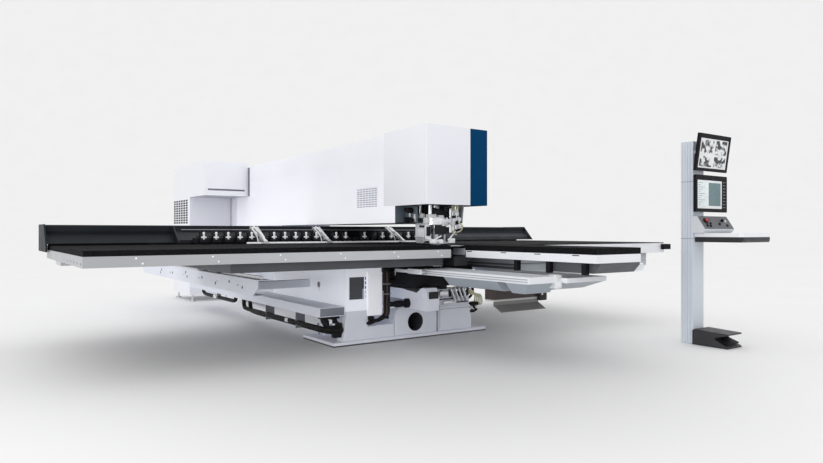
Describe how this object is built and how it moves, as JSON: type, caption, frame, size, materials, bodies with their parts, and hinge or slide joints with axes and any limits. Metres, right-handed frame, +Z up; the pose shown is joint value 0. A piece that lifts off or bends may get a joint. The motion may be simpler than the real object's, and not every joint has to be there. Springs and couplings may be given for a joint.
{
  "type": "cnc punch press with linear tool magazine",
  "caption": "C-frame sheet-metal punch press with a head cover, brush tables on a sliding cross-rail, sheet clamps, a linear tool magazine and an operator console.",
  "frame": {"origin": "centre of the underside of the front foot plate, on the floor", "axes": "+X to the right as the operator faces the punch head, +Y to the rear along the C-frame's arm, +Z up"},
  "size_m": [6.585, 8.18, 2.185],
  "materials": {
    "frame_paint": "satin",
    "cover_white": "satin",
    "panel_blue": "satin",
    "machined_steel": "machined",
    "bright_aluminium": "satin",
    "casting_grey": "painted",
    "rail_dark": "satin",
    "brush_black": "bristle",
    "plastic_black": "fine texture",
    "panel_grey": "satin",
    "button_red": "gloss"
  },
  "bodies": {
    "frame": {"foot_plate": "frame_paint", "centre_housing": "frame_paint", "c_frame": "frame_paint", "lower_body_shell": "frame_paint", "duct_beam": "frame_paint", "y_beam_left": "frame_paint", "y_beam_right": "frame_paint", "slug_chute": "frame_paint", "pneumatic_unit": "frame_paint", "front_service_cover": "cover_white", "arm_left_panel": "cover_white", "arm_right_cover": "cover_white", "head_cover": "cover_white", "rear_cabinet": "cover_white", "rear_upper_box": "cover_white", "middle_table_frame": "cover_white", "console_post": "cover_white", "head_side_panel": "panel_blue", "levelling_screws": "machined_steel", "y_guide_rails": "machined_steel", "die_holder": "machined_steel", "valve_block": "machined_steel", "rear_feet": "machined_steel", "tool_head": "bright_aluminium", "part_tray_left": "bright_aluminium", "part_tray_right": "bright_aluminium", "scrap_slide": "bright_aluminium", "head_casting": "casting_grey", "y_drive_motor": "rail_dark", "middle_table_top": "brush_black", "console_shelf": "plastic_black", "foot_switch": "plastic_black", "table_brackets": "plastic_black", "control_panel": "panel_grey"},
    "y_table": {"cross_rail": "rail_dark", "rail_end_plates": "rail_dark", "left_table_frame": "cover_white", "left_table_top": "brush_black", "left_underframe": "rail_dark", "right_table_frame": "cover_white", "right_table_top": "brush_black", "right_underframe": "rail_dark"},
    "x_carriage": {"x_carriage": "rail_dark", "tool_magazine": "rail_dark", "tool_cartridges": "machined_steel", "clamp_bodies": "rail_dark"},
    "jaw_left": {"clamp_jaw_left": "rail_dark"},
    "jaw_middle": {"clamp_jaw_middle": "rail_dark"},
    "jaw_right": {"clamp_jaw_right": "rail_dark"},
    "upper_rotation": {"rotation_ring": "machined_steel"},
    "ram": {"ram_punch": "machined_steel"},
    "stripper": {"stripper": "machined_steel"},
    "die": {"die_ring": "machined_steel"},
    "flap": {"parts_flap": "machined_steel"},
    "ball_screw": {"y_ball_screw": "machined_steel"},
    "upper_screen": {"upper_monitor": "plastic_black"},
    "lower_screen": {"lower_monitor": "plastic_black"},
    "e_stop": {"e_stop_button": "button_red"},
    "selector": {"selector_knob": "plastic_black"},
    "pedal": {"foot_pedal": "plastic_black"}
  },
  "joints": [
    {"name": "y_axis", "type": "slide", "parent": "frame", "child": "y_table", "axis": [0, 1, 0], "range_m": [-0.9, 0.7]},
    {"name": "x_axis", "type": "slide", "parent": "y_table", "child": "x_carriage", "axis": [1, 0, 0], "range_m": [-1, 1.98]},
    {"name": "clamp_left", "type": "hinge", "parent": "x_carriage", "child": "jaw_left", "pos_m": [-1.164, 1.085, 1.078], "axis": [-1, 0, 0], "range_deg": [0, 10]},
    {"name": "clamp_middle", "type": "hinge", "parent": "x_carriage", "child": "jaw_middle", "pos_m": [-0.378, 1.085, 1.078], "axis": [-1, 0, 0], "range_deg": [0, 10]},
    {"name": "clamp_right", "type": "hinge", "parent": "x_carriage", "child": "jaw_right", "pos_m": [0.67, 1.085, 1.078], "axis": [-1, 0, 0], "range_deg": [0, 10]},
    {"name": "upper_tool_rotation", "type": "hinge", "parent": "frame", "child": "upper_rotation", "pos_m": [0.15, -0.48, 1.17], "axis": [0, 0, 1], "continuous": true},
    {"name": "ram_stroke", "type": "slide", "parent": "upper_rotation", "child": "ram", "axis": [0, 0, -1], "range_m": [0, 0.03]},
    {"name": "stripper_stroke", "type": "slide", "parent": "frame", "child": "stripper", "axis": [0, 0, -1], "range_m": [0, 0.006]},
    {"name": "die_rotation", "type": "hinge", "parent": "frame", "child": "die", "pos_m": [0.15, -0.48, 0.96], "axis": [0, 0, 1], "continuous": true},
    {"name": "parts_flap_hinge", "type": "hinge", "parent": "frame", "child": "flap", "pos_m": [0.1465, -0.592, 0.971], "axis": [1, 0, 0], "range_deg": [0, 35]},
    {"name": "ball_screw_turn", "type": "hinge", "parent": "frame", "child": "ball_screw", "pos_m": [-0.33, 1.19, 0.7], "axis": [0, 1, 0], "continuous": true},
    {"name": "upper_monitor_tilt", "type": "hinge", "parent": "frame", "child": "upper_screen", "pos_m": [2.1535, -2.229, 1.914], "axis": [1, 0, 0], "range_deg": [-16, 2]},
    {"name": "lower_monitor_tilt", "type": "hinge", "parent": "frame", "child": "lower_screen", "pos_m": [2.1535, -2.229, 1.499], "axis": [1, 0, 0], "range_deg": [-10, 10]},
    {"name": "e_stop_press", "type": "slide", "parent": "frame", "child": "e_stop", "axis": [0, 0.8387, -0.5446], "range_m": [0, 0.004], "stiffness_N_per_m": 2500, "springref_m": -0.004},
    {"name": "selector_turn", "type": "hinge", "parent": "frame", "child": "selector", "pos_m": [2.41, -2.30196, 1.22687], "axis": [0, -0.8387, 0.5446], "range_deg": [-45, 45]},
    {"name": "pedal_press", "type": "hinge", "parent": "frame", "child": "pedal", "pos_m": [2.1605, -2.443, 0.084], "axis": [1, 0, 0], "range_deg": [0, 6], "stiffness_Nm_per_rad": 40, "springref_deg": -5.16}
  ],
  "couplings": [
    {"joint": "die_rotation", "follows": "upper_tool_rotation", "ratio": 1},
    {"joint": "ball_screw_turn", "follows": "y_axis", "rad_per_m": 157.08}
  ]
}
